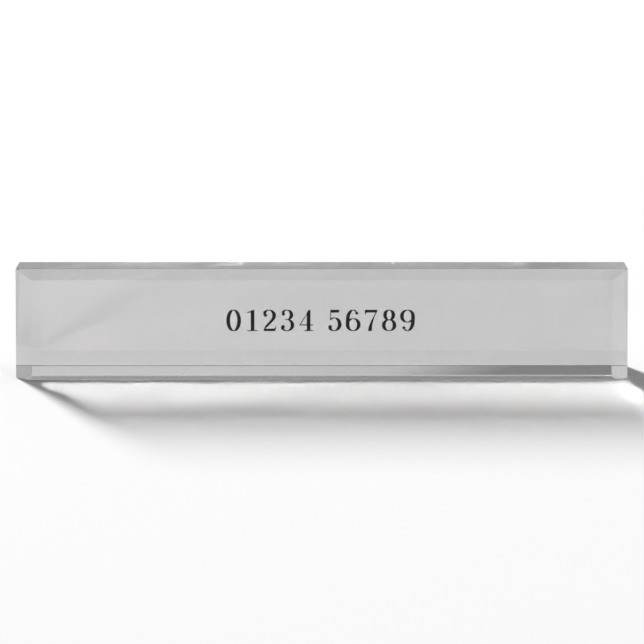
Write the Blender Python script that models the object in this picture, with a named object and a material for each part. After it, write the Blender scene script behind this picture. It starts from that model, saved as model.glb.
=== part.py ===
"""Desk nameplate: a solid block of clear acrylic with a printed film on its back.

Metres, +Z up. +X is to the reader's right, -Y faces the reader.
The origin is the middle of the footprint, on the desk.
"""
import math

import bmesh
import bpy
from mathutils import Matrix, Vector

# Block: a wedge with a level top and base, an upright back and a leaning front
WIDTH = 0.2032
HEIGHT = 0.0355
TOP_DEPTH = 0.0103
FACE_LEAN = math.radians(11.4)

# Front bevels: the width of each along the front face
SIDE_BEVEL = 0.0057
TOP_BEVEL = 0.0029
BOTTOM_BEVEL = 0.0019

# Front bevels: how far each goes in, straight back from the front face
BEVEL_DEPTH = 0.0040
BOTTOM_BEVEL_DEPTH = 0.0014

# Polished arris on every edge
ARRIS = 0.0002
ARRIS_STEPS = 2

# Printed film, stuck to the flat of the back
FILM_THICKNESS = 0.0002
FILM_MARGIN = 0.0002
FILM_CORNER = 0.0010
FILM_CORNER_STEPS = 6
FILM_SEAT = 0.0003

# Directions on the leaning front face: out towards the reader, and up along the face
face_out = Vector((0.0, -math.cos(FACE_LEAN), math.sin(FACE_LEAN)))
face_up = Vector((0.0, math.sin(FACE_LEAN), math.cos(FACE_LEAN)))
face_right = Vector((1.0, 0.0, 0.0))

# How far the front face leans back in all, and what its bevels take at the foot and at the head
face_run = HEIGHT * math.tan(FACE_LEAN)
foot_setback = BOTTOM_BEVEL * math.sin(FACE_LEAN)
base_setback = BOTTOM_BEVEL_DEPTH / math.cos(FACE_LEAN)
top_setback = BEVEL_DEPTH / math.cos(FACE_LEAN)

# Depths, with the middle of the whole footprint at zero
block_depth = face_run + top_setback + TOP_DEPTH - foot_setback
whole_depth = block_depth + FILM_SEAT + FILM_THICKNESS
back_y = block_depth - whole_depth / 2.0
top_front_y = back_y - TOP_DEPTH
face_head = Vector((0.0, top_front_y - top_setback, HEIGHT))
face_foot = Vector((0.0, face_head.y - face_run, 0.0))


def clear_scene():
    for item in list(bpy.data.objects):
        bpy.data.objects.remove(item, do_unlink=True)


def make_material(name, colour, roughness, transmission, ior):
    material = bpy.data.materials.new(name)
    material.use_nodes = True
    shader = material.node_tree.nodes["Principled BSDF"]
    shader.inputs["Base Color"].default_value = (*colour, 1.0)
    shader.inputs["Roughness"].default_value = roughness
    shader.inputs["Metallic"].default_value = 0.0
    shader.inputs["Transmission Weight"].default_value = transmission
    shader.inputs["IOR"].default_value = ior
    material.diffuse_color = (*colour, 1.0)
    return material


def make_object(name, bm, material):
    bmesh.ops.recalc_face_normals(bm, faces=bm.faces)
    mesh = bpy.data.meshes.new(name)
    bm.to_mesh(mesh)
    bm.free()
    mesh.materials.append(material)
    part = bpy.data.objects.new(name, mesh)
    bpy.context.scene.collection.objects.link(part)
    return part


def extrude_outline(outline, travel):
    """Closed solid from a flat outline of points, swept straight along travel."""
    bm = bmesh.new()
    face = bm.faces.new([bm.verts.new(point) for point in outline])
    swept = bmesh.ops.extrude_face_region(bm, geom=[face])
    moved = [item for item in swept["geom"] if isinstance(item, bmesh.types.BMVert)]
    bmesh.ops.translate(bm, verts=moved, vec=travel)
    return bm


def plane_cut(bm, point, outward):
    """Cut away what lies beyond the plane, and close the cut with one flat face."""
    everything = bm.verts[:] + bm.edges[:] + bm.faces[:]
    cut = bmesh.ops.bisect_plane(
        bm, geom=everything, dist=1e-7, plane_co=point, plane_no=outward, clear_outer=True)
    rim = [item for item in cut["geom_cut"] if isinstance(item, bmesh.types.BMEdge)]
    bmesh.ops.contextual_create(bm, geom=rim)


def build_block(material):
    # Side outline from the base up the front: bottom bevel, face, top bevel, top, back
    outline = [
        Vector((0.0, face_foot.y + base_setback, 0.0)),
        face_foot + face_up * BOTTOM_BEVEL,
        face_head - face_up * TOP_BEVEL,
        Vector((0.0, top_front_y, HEIGHT)),
        Vector((0.0, back_y, HEIGHT)),
        Vector((0.0, back_y, 0.0)),
    ]
    left_end = [point - face_right * WIDTH / 2.0 for point in outline]
    bm = extrude_outline(left_end, face_right * WIDTH)
    bmesh.ops.recalc_face_normals(bm, faces=bm.faces)

    # The side bevels meet the top and bottom ones in mitres, and end in the top corners
    for side in (-1.0, 1.0):
        start = face_foot + face_right * side * (WIDTH / 2.0 - SIDE_BEVEL)
        outward = face_right * side * BEVEL_DEPTH + face_out * SIDE_BEVEL
        plane_cut(bm, start, outward.normalized())

    block = make_object("acrylic_block", bm, material)
    polish = block.modifiers.new("arris", "BEVEL")
    polish.width = ARRIS
    polish.segments = ARRIS_STEPS
    polish.limit_method = "ANGLE"
    polish.angle_limit = math.radians(12.0)
    return block


def rounded_outline(width, height, radius, steps):
    """Rectangle with round corners about its own middle, in the XZ plane."""
    points = []
    corners = ((1, 1, 0.0), (-1, 1, 90.0), (-1, -1, 180.0), (1, -1, 270.0))
    for sign_x, sign_z, start in corners:
        centre_x = sign_x * (width / 2.0 - radius)
        centre_z = sign_z * (height / 2.0 - radius)
        for step in range(steps + 1):
            angle = math.radians(start + 90.0 * step / steps)
            points.append((centre_x + radius * math.cos(angle), 0.0, centre_z + radius * math.sin(angle)))
    return points


def build_film(material):
    film_width = WIDTH - 2.0 * FILM_MARGIN
    film_height = HEIGHT - 2.0 * FILM_MARGIN
    outline = rounded_outline(film_width, film_height, FILM_CORNER, FILM_CORNER_STEPS)
    bm = extrude_outline(outline, Vector((0.0, FILM_THICKNESS, 0.0)))
    film = make_object("print_film", bm, material)
    film.matrix_world = Matrix.Translation((0.0, back_y + FILM_SEAT, HEIGHT / 2.0))
    return film


def main():
    clear_scene()
    acrylic = make_material("cast_acrylic", (0.86, 0.86, 0.86), 0.03, 1.0, 1.49)
    film = make_material("printed_film", (0.58, 0.58, 0.58), 0.45, 0.0, 1.5)
    build_block(acrylic)
    build_film(film)


main()
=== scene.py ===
import math

import bmesh
import bpy
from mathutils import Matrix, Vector


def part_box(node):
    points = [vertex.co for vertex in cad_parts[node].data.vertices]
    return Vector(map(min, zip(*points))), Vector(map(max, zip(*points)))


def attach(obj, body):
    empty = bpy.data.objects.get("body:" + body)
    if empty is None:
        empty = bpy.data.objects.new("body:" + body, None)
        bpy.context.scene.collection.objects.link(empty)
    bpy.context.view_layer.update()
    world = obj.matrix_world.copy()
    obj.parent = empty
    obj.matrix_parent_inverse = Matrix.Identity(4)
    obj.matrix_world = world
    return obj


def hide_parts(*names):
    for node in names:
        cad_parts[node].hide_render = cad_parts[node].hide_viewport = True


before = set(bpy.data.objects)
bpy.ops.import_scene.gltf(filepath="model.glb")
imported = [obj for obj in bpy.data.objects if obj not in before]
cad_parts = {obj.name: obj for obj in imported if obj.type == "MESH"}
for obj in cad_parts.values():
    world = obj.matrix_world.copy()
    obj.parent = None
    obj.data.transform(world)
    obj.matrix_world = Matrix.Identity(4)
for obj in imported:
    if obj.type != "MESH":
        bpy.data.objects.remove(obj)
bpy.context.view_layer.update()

scene = bpy.context.scene
MM = 0.001

# Places in metres, read from the solids
block_high = Vector(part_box("acrylic_block")[1])
film_low, film_high = (Vector(corner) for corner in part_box("print_film"))
back_y = block_high.y

# Index of the acrylic and of the film, and how strongly each absorbs light, per metre
PLASTIC_INDEX = 1.49
BODY_DENSITY = 2.0
FILM_DENSITY = 1700.0

# The film is laid on the block: its adhesive face sits this far inside the polished back, so that
# no air gap is left between them
FILM_SINK = 0.05 * MM
FILM_CORNER = 1.0 * MM
FILM_CORNER_STEPS = 8

# Line of plain numerals: its middle, its foot and its height. Advance and width are parts of the
# height. The ink ends this far in front of the film's face.
LINE_MIDDLE = -0.44 * MM
LINE_FOOT = 11.87 * MM
FIGURE_HEIGHT = 7.35 * MM
FIGURE_ADVANCE = 0.825
FIGURE_WIDTH = 0.67
SPACE_ADVANCE = 0.50
LINE_FIGURES = "01234 56789"
INK_THICKNESS = 0.02 * MM
INK_SINK = 0.02 * MM

# Pen that draws the numerals: upright strokes thick, level ones fine, as parts of their height
STEM = 0.168
HAIR = 0.036

# How sharply it turns from thick to fine, over how many points an open end tapers, and how finely
# curves are drawn: a step of so many degrees along an arc, so many steps along a bend
PEN_SHARPNESS = 1.5
TAPER_POINTS = 5.0
ARC_STEP = 6.0
BEND_STEPS = 16

# A 9 is a 6 turned upside down within this width
TURNED_WIDTH = 0.69

# Studio
FLOOR_GAP = 0.05 * MM
FLOOR_HALF_WIDTH = 0.7
FLOOR_HALF_LENGTH = 1.6
FLOOR_CELLS = (8, 16)
KEY_DISTANCE = 10.0
KEY_AZIMUTH = math.radians(29.6)
KEY_HEIGHT = math.radians(24.5)
KEY_HALF_WIDTH = math.radians(4.0)
KEY_HALF_HEIGHT = math.radians(8.5)
KEY_IRRADIANCE = 6.9

# Room light, by direction. Aside and rise are how far a direction goes right and up for each step
# that it goes ahead, the way the lens looks. A pair is a straight ramp, its slope and its value at
# zero: over aside for the card's edge and fade and for what is past it, over rise for its climb
# and drop, over how far below the edge for its blur, and over the direction's own parts to the
# right and up for the rest. A light is a brightness, where 1 is white, or what is added to it.
LEAST_AHEAD = 0.05
AHEAD_SHARPNESS = 20.0
CARD_EDGE = (-0.30, 0.412)
CARD_EDGE_BLUR = (60.0, 0.5)
CARD_FADE = (-1.2, 0.94)
CARD_CLIMB = (7.7, -0.54)
CARD_DROP = (10.0, -2.8)
CARD_FOOT_LIGHT = 0.52
CARD_CLIMB_LIGHT = 0.56
CARD_DROP_LIGHT = -0.08
PAST_CARD = (12.5, -1.75)
WALL_LIGHT = 0.37
PAST_CARD_LIGHT = 0.30
CEILING = (5.0, -2.5)
CEILING_LIGHT = -0.20
RIGHT_CARD = (6.0, -4.5)
RIGHT_CARD_LIGHT = 0.45
LEFT_FLAG = (-6.0, -4.5)
LEFT_FLAG_LIGHT = -0.32

# Camera
CAMERA_HEIGHT = math.radians(14.32)
CAMERA_DISTANCE = 0.7209
CAMERA_AIM = Vector((0.0, -11.2 * MM, 20.16 * MM))
CAMERA_LENS = 122.75
CAMERA_SHIFT = 0.0004
CAMERA_SENSOR = 36.0
CAMERA_NEAREST = 0.01


def linear(hex_colour):
    """Linear RGBA from an sRGB hex colour."""
    values = []
    for start in (0, 2, 4):
        value = int(hex_colour[start:start + 2], 16) / 255.0
        if value <= 0.04045:
            values.append(value / 12.92)
        else:
            values.append(((value + 0.055) / 1.055) ** 2.4)
    return (*values, 1.0)


def add_node(tree, kind, settings=None, inputs=None, links=None):
    """One node with its settings and inputs; links maps an input to a (node, output) pair."""
    node = tree.nodes.new(kind)
    for key, value in (settings or {}).items():
        setattr(node, key, value)
    for key, value in (inputs or {}).items():
        node.inputs[key].default_value = value
    for key, (source, output) in (links or {}).items():
        tree.links.new(source.outputs[output], node.inputs[key])
    return node


def maths(tree, operation, *values, clamp=False):
    """Math node on numbers and (node, output) pairs, returned as such a pair."""
    numbers = {i: value for i, value in enumerate(values) if not isinstance(value, tuple)}
    sources = {i: value for i, value in enumerate(values) if isinstance(value, tuple)}
    settings = {"operation": operation, "use_clamp": clamp}
    return (add_node(tree, "ShaderNodeMath", settings, numbers, sources), 0)


def ramp(tree, source, slope, start):
    """Straight ramp over a source, held between 0 and 1."""
    return maths(tree, "MULTIPLY_ADD", source, slope, start, clamp=True)


def new_tree(name):
    material = bpy.data.materials.new(name)
    material.use_nodes = True
    material.node_tree.nodes.clear()
    return material, material.node_tree


def noise(tree, place, size, detail=2.0, stretch=(1.0, 1.0, 1.0)):
    """Noise with features about size metres wide, longer along an axis with a stretch under 1."""
    laid = add_node(tree, "ShaderNodeMapping", inputs={"Scale": stretch},
                    links={"Vector": (place, "Object")})
    return add_node(tree, "ShaderNodeTexNoise", inputs={"Scale": 1.0 / size, "Detail": detail},
                    links={"Vector": (laid, 0)})


def spread(tree, source, low, high, lowest, highest):
    """Map low..high of a source onto lowest..highest, and no further."""
    ends = {"From Min": low, "From Max": high, "To Min": lowest, "To Max": highest}
    return add_node(tree, "ShaderNodeMapRange", inputs=ends, links={"Value": (source, 0)})


def mottle(tree, source, dark, light):
    """Colour between two sRGB hex colours, mixed by a noise."""
    return add_node(tree, "ShaderNodeMix", {"data_type": "RGBA"}, {6: linear(dark), 7: linear(light)},
                    {0: (source, 0)})


def acrylic_material():
    """Cast acrylic, cut and flame-polished.

    Clear PMMA. Casting and polishing leave waves 1.5 microns deep and about 9 mm long, and wiping
    leaves a little haze in streaks along the block. A faint body tint greys light that goes a long
    way inside it.
    """
    material, tree = new_tree("cast_acrylic_polished")
    place = add_node(tree, "ShaderNodeTexCoord")
    waves = noise(tree, place, size=9.0 * MM, detail=1.0)
    relief = add_node(tree, "ShaderNodeBump", inputs={"Strength": 1.0, "Distance": 0.0015 * MM},
                      links={"Height": (waves, 0)})
    wipes = noise(tree, place, size=0.8 * MM, detail=3.0, stretch=(0.08, 1.0, 1.0))
    haze = spread(tree, wipes, low=0.62, high=0.80, lowest=0.0, highest=0.03)
    shader = add_node(tree, "ShaderNodeBsdfPrincipled", inputs={
        "Base Color": linear("FFFFFF"), "IOR": PLASTIC_INDEX, "Transmission Weight": 1.0},
        links={"Roughness": (haze, 0), "Normal": (relief, 0)})
    tint = add_node(tree, "ShaderNodeVolumeAbsorption", inputs={
        "Color": linear("000000"), "Density": BODY_DENSITY})
    add_node(tree, "ShaderNodeOutputMaterial", links={"Surface": (shader, 0), "Volume": (tint, 0)})
    return material


def film_material():
    """Clear film tinted light grey.

    It takes about four tenths of the light that goes straight through and scatters none, so
    the field reads as an even light grey; slanting light has further to go and comes out darker,
    which sets off the bevels. Coating leaves long faint bands and a fine grain. A painted shade
    makes the tone a little darker to the right, for light that falls off towards that side.
    """
    material, tree = new_tree("tinted_grey_film")
    place = add_node(tree, "ShaderNodeTexCoord")
    bands = noise(tree, place, size=14.0 * MM, stretch=(0.12, 1.0, 1.0))
    grain = noise(tree, place, size=0.25 * MM, detail=1.0)
    banded = mottle(tree, bands, "FBFBFB", "FFFFFF")
    split = add_node(tree, "ShaderNodeSeparateXYZ", links={0: (place, "Object")})
    # Painted shade: the tone is made a little darker towards the right, standing in for light falling
    # off that way
    painted_right_shade = maths(tree, "MULTIPLY_ADD", (split, "X"), -0.25, 0.975)
    speckle = spread(tree, grain, low=0.3, high=0.7, lowest=0.98, highest=1.0)
    grain_and_painted_shade = maths(tree, "MULTIPLY", (speckle, 0), painted_right_shade)
    tone = add_node(tree, "ShaderNodeVectorMath", {"operation": "SCALE"},
                    links={0: (banded, 2), "Scale": grain_and_painted_shade})
    shader = add_node(tree, "ShaderNodeBsdfPrincipled", inputs={
        "Roughness": 0.0, "IOR": PLASTIC_INDEX, "Transmission Weight": 1.0},
        links={"Base Color": (tone, 0)})
    tint = add_node(tree, "ShaderNodeVolumeAbsorption", inputs={
        "Color": linear("000000"), "Density": FILM_DENSITY})
    add_node(tree, "ShaderNodeOutputMaterial", links={"Surface": (shader, 0), "Volume": (tint, 0)})
    return material


def ink_material():
    """Black UV-cured ink, IOR 1.5, satin.

    Its cover varies a little from drop to drop, which shows as a slight mottle in the black and
    a fine pebbling of its surface.
    """
    material, tree = new_tree("black_uv_ink")
    place = add_node(tree, "ShaderNodeTexCoord")
    drops = noise(tree, place, size=0.12 * MM)
    cover = mottle(tree, drops, "101010", "1C1C1C")
    satin = spread(tree, drops, low=0.3, high=0.7, lowest=0.32, highest=0.46)
    relief = add_node(tree, "ShaderNodeBump", inputs={"Strength": 0.4, "Distance": 0.003 * MM},
                      links={"Height": (drops, 0)})
    shader = add_node(tree, "ShaderNodeBsdfPrincipled", inputs={"IOR": 1.5, "Specular IOR Level": 0.1},
                      links={"Base Color": (cover, 2), "Roughness": (satin, 0), "Normal": (relief, 0)})
    add_node(tree, "ShaderNodeOutputMaterial", links={"Surface": (shader, 0)})
    return material


def floor_material():
    """White background paper, uncoated: fully matt, with a very faint fibre cloud in its tone."""
    material, tree = new_tree("matt_white_paper")
    place = add_node(tree, "ShaderNodeTexCoord")
    fibres = noise(tree, place, size=3.0 * MM, detail=3.0)
    tone = mottle(tree, fibres, "E6E6E6", "E8E8E8")
    shader = add_node(tree, "ShaderNodeBsdfPrincipled", inputs={
        "Roughness": 1.0, "Specular IOR Level": 0.0}, links={"Base Color": (tone, 2)})
    add_node(tree, "ShaderNodeOutputMaterial", links={"Surface": (shader, 0)})
    return material


def make_object(name, bm, material):
    bmesh.ops.recalc_face_normals(bm, faces=bm.faces)
    mesh = bpy.data.meshes.new(name)
    bm.to_mesh(mesh)
    bm.free()
    mesh.materials.append(material)
    item = bpy.data.objects.new(name, mesh)
    scene.collection.objects.link(item)
    return item


def add_slab(bm, outline, front, back):
    """Closed slab with this outline of (x, z) points, from y = front to y = back.

    Its faces are listed one by one. An extrude gives them in another order from run to run, and
    the join of the numerals can then move a point.
    """
    near, far = ([bm.verts.new((x, y, z)) for x, z in outline] for y in (front, back))
    bm.faces.new(near)
    bm.faces.new(far[::-1])
    for i in range(len(outline)):
        bm.faces.new((near[i - 1], far[i - 1], far[i], near[i]))


def build_film():
    """Film sheet with rounded corners, laid on the back."""
    bm = bmesh.new()
    outline = []
    for centre_x, centre_z, start in (
            (film_high.x - FILM_CORNER, film_high.z - FILM_CORNER, 0.0),
            (film_low.x + FILM_CORNER, film_high.z - FILM_CORNER, 90.0),
            (film_low.x + FILM_CORNER, film_low.z + FILM_CORNER, 180.0),
            (film_high.x - FILM_CORNER, film_low.z + FILM_CORNER, 270.0)):
        for step in range(FILM_CORNER_STEPS + 1):
            turn = math.radians(start + 90.0 * step / FILM_CORNER_STEPS)
            outline.append((centre_x + FILM_CORNER * math.cos(turn),
                            centre_z + FILM_CORNER * math.sin(turn)))
    add_slab(bm, outline, back_y - FILM_SINK, back_y + film_high.y - film_low.y)
    film = make_object("film_sheet", bm, film_material())
    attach(film, "root")
    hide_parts("print_film")


def arc(centre, radii, start, end):
    """Points on an ellipse from one angle to another, in degrees, turning either way."""
    count = max(2, round(abs(end - start) / ARC_STEP))
    points = []
    for step in range(count + 1):
        turn = math.radians(start + (end - start) * step / count)
        points.append((centre[0] + radii[0] * math.cos(turn),
                       centre[1] + radii[1] * math.sin(turn)))
    return points


def bend(*corners):
    """Points on a cubic curve, given its start, its two pulls and its end."""
    points = []
    for step in range(BEND_STEPS + 1):
        t = step / BEND_STEPS
        weights = ((1 - t) ** 3, 3 * t * (1 - t) ** 2, 3 * t * t * (1 - t), t ** 3)
        points.append(tuple(sum(w * c[axis] for w, c in zip(weights, corners)) for axis in (0, 1)))
    return points


def figure(digit):
    """Strokes of one numeral of height 1.

    They are pen lines as (points, closed), balls as (centre, radius), and plates as outlines.
    """
    lines = []
    balls = []
    plates = []
    if digit == "0":
        lines.append((arc((0.335, 0.5), (0.25, 0.482), 0.0, 360.0), True))
    if digit == "1":
        plates.append([(0.29, 0.0), (0.458, 0.0), (0.458, 1.0), (0.41, 1.0), (0.29, 0.955)])
        plates.append([(0.41, 1.0), (0.13, 0.875), (0.13, 0.84), (0.30, 0.885)])
        plates.append([(0.13, 0.0), (0.62, 0.0), (0.62, 0.034), (0.50, 0.042), (0.24, 0.042),
                       (0.13, 0.034)])
    if digit == "2":
        balls.append(((0.135, 0.745), 0.078))
        lines.append((arc((0.30, 0.72), (0.235, 0.262), 172.0, 0.0)
                      + bend((0.535, 0.72), (0.535, 0.50), (0.22, 0.34), (0.075, 0.06))[1:], False))
        plates.append([(0.05, 0.0), (0.585, 0.0), (0.635, 0.225), (0.608, 0.225), (0.565, 0.135),
                       (0.50, 0.115), (0.12, 0.115), (0.05, 0.05)])
    if digit == "3":
        balls.append(((0.135, 0.795), 0.074))
        balls.append(((0.12, 0.205), 0.08))
        lines.append((arc((0.29, 0.76), (0.21, 0.222), 168.0, -90.0), False))
        lines.append((arc((0.29, 0.278), (0.255, 0.26), 98.0, -168.0), False))
        plates.append([(0.20, 0.521), (0.31, 0.521), (0.31, 0.557), (0.20, 0.557)])
    if digit == "4":
        plates.append([(0.375, 0.0), (0.543, 0.0), (0.543, 1.0), (0.49, 1.0), (0.375, 0.90)])
        plates.append([(0.02, 0.262), (0.065, 0.262), (0.50, 0.955), (0.49, 1.0)])
        plates.append([(0.02, 0.262), (0.665, 0.262), (0.665, 0.31), (0.05, 0.31)])
        plates.append([(0.24, 0.0), (0.675, 0.0), (0.675, 0.034), (0.58, 0.042), (0.335, 0.042),
                       (0.24, 0.034)])
    if digit == "5":
        balls.append(((0.12, 0.20), 0.08))
        plates.append([(0.125, 1.0), (0.555, 1.0), (0.505, 0.865), (0.16, 0.865), (0.125, 0.93)])
        plates.append([(0.125, 0.955), (0.165, 0.93), (0.145, 0.50), (0.108, 0.50)])
        lines.append((arc((0.30, 0.318), (0.25, 0.30), 138.0, -168.0), False))
    if digit in "69":
        lines.append((arc((0.345, 0.50), (0.255, 0.482), 54.0, 180.0)
                      + arc((0.345, 0.30), (0.255, 0.282), 180.0, 510.0), False))
        balls.append(((0.505, 0.845), 0.068))
    if digit == "7":
        plates.append([(0.05, 1.0), (0.62, 1.0), (0.62, 0.95), (0.57, 0.868), (0.12, 0.868),
                       (0.082, 0.775), (0.05, 0.775)])
        left = bend((0.565, 0.95), (0.46, 0.66), (0.23, 0.38), (0.20, 0.0))
        right = bend((0.62, 0.95), (0.50, 0.70), (0.37, 0.42), (0.375, 0.0))
        plates.append(left + right[::-1])
    if digit == "8":
        lines.append((arc((0.335, 0.752), (0.19, 0.23), 0.0, 360.0), True))
        lines.append((arc((0.335, 0.275), (0.245, 0.257), 0.0, 360.0), True))
    if digit == "9":
        lines = [([(TURNED_WIDTH - x, 1.0 - z) for x, z in points], closed)
                 for points, closed in lines]
        balls = [((TURNED_WIDTH - x, 1.0 - z), radius) for (x, z), radius in balls]
    return lines, balls, plates


def pen_sides(points, closed):
    """Both sides of a pen line: wide where it runs upright, fine where level and at open ends."""
    if closed:
        points = points[:-1]
    count = len(points)
    left = []
    right = []
    for i, (x, z) in enumerate(points):
        before = points[i - 1] if i or closed else points[i]
        after = points[(i + 1) % count] if i < count - 1 or closed else points[i]
        run = Vector((after[0] - before[0], after[1] - before[1])).normalized()
        ease = 1.0 if closed else min(1.0, i / TAPER_POINTS, (count - 1 - i) / TAPER_POINTS)
        half = (HAIR + (STEM - HAIR) * ease * abs(run.y) ** PEN_SHARPNESS) / 2.0
        left.append((x - run.y * half, z + run.x * half))
        right.append((x + run.y * half, z - run.x * half))
    return left, right


def add_pen_line(bm, points, closed, front, back):
    """Closed solid of a pen line, between y = front and y = back."""
    left, right = pen_sides(points, closed)
    rows = [[bm.verts.new((x, y, z)) for x, z in side]
            for y in (front, back) for side in (left, right)]
    count = len(left)
    ring = (rows[0], rows[1], rows[3], rows[2])
    for i in range(count if closed else count - 1):
        after = (i + 1) % count
        for side in range(4):
            here = ring[side]
            there = ring[(side + 1) % 4]
            bm.faces.new((here[i], there[i], there[after], here[after]))
    if not closed:
        bm.faces.new([row[0] for row in ring])
        bm.faces.new([row[-1] for row in reversed(ring)])


def joined(item):
    """Join the overlapping solids of an object into one skin, with Geometry Nodes."""
    group = bpy.data.node_groups.new("join_strokes", "GeometryNodeTree")
    group.interface.new_socket("Geometry", in_out="INPUT", socket_type="NodeSocketGeometry")
    group.interface.new_socket("Geometry", in_out="OUTPUT", socket_type="NodeSocketGeometry")
    strokes = group.nodes.new("NodeGroupInput")
    union = add_node(group, "GeometryNodeMeshBoolean", {"operation": "UNION", "solver": "EXACT"},
                     {"Self Intersection": True}, {"Mesh 2": (strokes, 0)})
    add_node(group, "NodeGroupOutput", links={0: (union, "Mesh")})
    item.modifiers.new("join_strokes", "NODES").node_group = group
    graph = bpy.context.evaluated_depsgraph_get()
    skin = bpy.data.meshes.new_from_object(item.evaluated_get(graph))
    skin.name = item.name
    item.modifiers.clear()
    item.data = skin


def build_numerals():
    """Line of plain numerals in ink, just inside the back of the block, in front of the film."""
    pieces = bmesh.new()
    back = back_y - FILM_SINK - INK_SINK
    front = back - INK_THICKNESS
    wide = sum(SPACE_ADVANCE if mark == " " else FIGURE_ADVANCE for mark in LINE_FIGURES)
    along = LINE_MIDDLE - (wide - FIGURE_ADVANCE + FIGURE_WIDTH) / 2.0 * FIGURE_HEIGHT
    for mark in LINE_FIGURES:
        if mark == " ":
            along += SPACE_ADVANCE * FIGURE_HEIGHT
            continue
        bm = bmesh.new()
        lines, balls, plates = figure(mark)
        for points, closed in lines:
            add_pen_line(bm, points, closed, 0.0, 1.0)
        for centre, radius in balls:
            add_slab(bm, arc(centre, (radius, radius), 0.0, 360.0 - ARC_STEP), 0.0, 1.0)
        for outline in plates:
            add_slab(bm, outline, 0.0, 1.0)
        for vert in bm.verts:
            vert.co = (along + vert.co.x * FIGURE_HEIGHT, front + vert.co.y * (back - front),
                       LINE_FOOT + vert.co.z * FIGURE_HEIGHT)
        mesh = bpy.data.meshes.new("numeral")
        bm.to_mesh(mesh)
        bm.free()
        pieces.from_mesh(mesh)
        bpy.data.meshes.remove(mesh)
        along += FIGURE_ADVANCE * FIGURE_HEIGHT
    numerals = make_object("printed_numerals", pieces, ink_material())
    joined(numerals)
    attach(numerals, "root")


def build_block():
    """The block is the solid itself, in its own material."""
    acrylic = acrylic_material()
    block = bpy.data.objects["acrylic_block"]
    for slot in block.material_slots:
        slot.material = acrylic


def build_floor():
    """White floor, a hair below the block's foot."""
    bm = bmesh.new()
    bmesh.ops.create_grid(bm, x_segments=FLOOR_CELLS[0], y_segments=FLOOR_CELLS[1], size=1.0)
    for vert in bm.verts:
        vert.co = (vert.co.x * FLOOR_HALF_WIDTH, vert.co.y * FLOOR_HALF_LENGTH, -FLOOR_GAP)
    floor = make_object("studio_floor", bm, floor_material())


def build_key():
    """Tall strip softbox low behind the block, on the left.

    The shadow falls forward and to the right.
    """
    lamp = bpy.data.lights.new("key", "AREA")
    lamp.shape = "RECTANGLE"
    lamp.size = 2.0 * KEY_DISTANCE * math.tan(KEY_HALF_WIDTH)
    lamp.size_y = 2.0 * KEY_DISTANCE * math.tan(KEY_HALF_HEIGHT)
    lamp.energy = KEY_IRRADIANCE * math.pi * KEY_DISTANCE ** 2
    key = bpy.data.objects.new("key", lamp)
    scene.collection.objects.link(key)
    level = math.cos(KEY_HEIGHT)
    travel = Vector((math.sin(KEY_AZIMUTH) * level, -math.cos(KEY_AZIMUTH) * level,
                     -math.sin(KEY_HEIGHT)))
    key.location = -travel * KEY_DISTANCE
    key.rotation_euler = travel.to_track_quat("-Z", "Y").to_euler()


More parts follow.
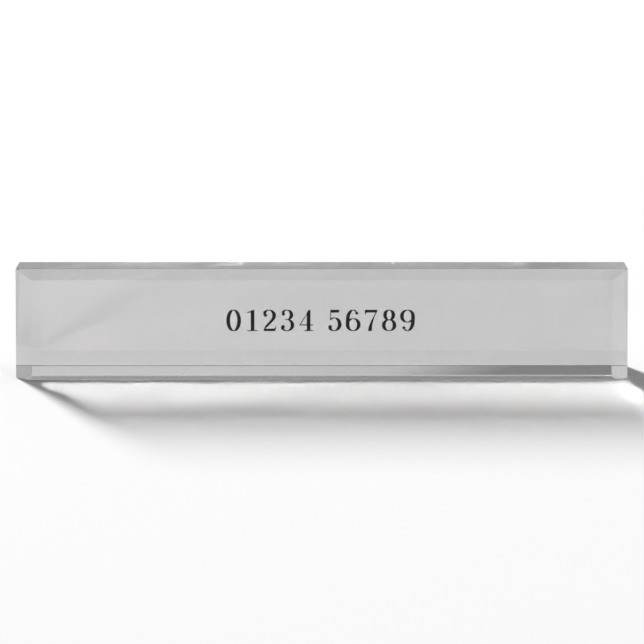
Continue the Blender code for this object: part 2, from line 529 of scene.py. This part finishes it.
def build_room():
    """Soft room light: a white card behind, grey walls, a pale card right and a black flag left.

    The card is brightest across its middle, fades to the right, and its top edge falls that way
    too. The foot of the block mirrors it: light along most of its length, and dark past the card.
    """
    room = bpy.data.worlds.new("studio")
    scene.world = room
    room.use_nodes = True
    tree = room.node_tree
    tree.nodes.clear()
    place = add_node(tree, "ShaderNodeTexCoord")
    split = add_node(tree, "ShaderNodeSeparateXYZ", links={0: (place, "Generated")})
    right, ahead, up = ((split, name) for name in ("X", "Y", "Z"))
    forward = maths(tree, "MAXIMUM", ahead, LEAST_AHEAD)
    aside = maths(tree, "DIVIDE", right, forward)
    rise = maths(tree, "DIVIDE", up, forward)

    # Where the card is, and how bright it is there
    edge = maths(tree, "MULTIPLY_ADD", aside, *CARD_EDGE)
    under_edge = ramp(tree, maths(tree, "SUBTRACT", edge, rise), *CARD_EDGE_BLUR)
    behind = maths(tree, "MULTIPLY", ahead, AHEAD_SHARPNESS, clamp=True)
    card = maths(tree, "MULTIPLY", under_edge, behind)
    climb_light = maths(tree, "MULTIPLY_ADD", ramp(tree, rise, *CARD_CLIMB), CARD_CLIMB_LIGHT,
                        CARD_FOOT_LIGHT)
    height_light = maths(tree, "MULTIPLY_ADD", ramp(tree, rise, *CARD_DROP), CARD_DROP_LIGHT,
                         climb_light)
    card_light = maths(tree, "MULTIPLY", height_light, ramp(tree, aside, *CARD_FADE))

    # Walls, lighter past the card, a pale card far right, a black flag far left, and a dark ceiling
    past = maths(tree, "MULTIPLY", ramp(tree, aside, *PAST_CARD), behind)
    sides = maths(tree, "MULTIPLY_ADD", past, PAST_CARD_LIGHT, WALL_LIGHT)
    for source, reach, light in (
            (up, CEILING, CEILING_LIGHT),
            (right, LEFT_FLAG, LEFT_FLAG_LIGHT),
            (right, RIGHT_CARD, RIGHT_CARD_LIGHT)):
        sides = maths(tree, "MULTIPLY_ADD", ramp(tree, source, *reach), light, sides)

    off_card = maths(tree, "MULTIPLY", sides, maths(tree, "SUBTRACT", 1.0, card))
    total = maths(tree, "MULTIPLY_ADD", card, card_light, off_card)
    glow = add_node(tree, "ShaderNodeBackground", inputs={"Color": linear("FFFFFF")},
                    links={"Strength": total})

    # Plain white for the lens itself, where it looks past the floor
    plain = add_node(tree, "ShaderNodeBackground", inputs={"Color": linear("FFFFFF"), "Strength": 1.0})
    path = add_node(tree, "ShaderNodeLightPath")
    seen = add_node(tree, "ShaderNodeMixShader",
                    links={0: (path, "Is Camera Ray"), 1: (glow, 0), 2: (plain, 0)})
    add_node(tree, "ShaderNodeOutputWorld", links={"Surface": (seen, 0)})


def build_camera():
    camera = bpy.data.cameras.new("camera")
    stand = bpy.data.objects.new("camera", camera)
    scene.collection.objects.link(stand)
    scene.camera = stand
    camera.sensor_width = CAMERA_SENSOR
    camera.lens = CAMERA_LENS
    camera.shift_x = CAMERA_SHIFT
    camera.clip_start = CAMERA_NEAREST
    look = Vector((0.0, math.cos(CAMERA_HEIGHT), -math.sin(CAMERA_HEIGHT)))
    stand.location = CAMERA_AIM - look * CAMERA_DISTANCE
    stand.rotation_euler = look.to_track_quat("-Z", "Y").to_euler()


def set_light_paths():
    """Enough bounces for light that is folded inside the block, and no clipping of its brightness."""
    scene.view_settings.view_transform = "Standard"
    scene.cycles.max_bounces = 32
    scene.cycles.transmission_bounces = 32
    scene.cycles.glossy_bounces = 16
    scene.cycles.blur_glossy = 0.0
    scene.cycles.sample_clamp_indirect = 0.0


build_block()
build_film()
build_numerals()
build_floor()
build_key()
build_room()
build_camera()
set_light_paths()
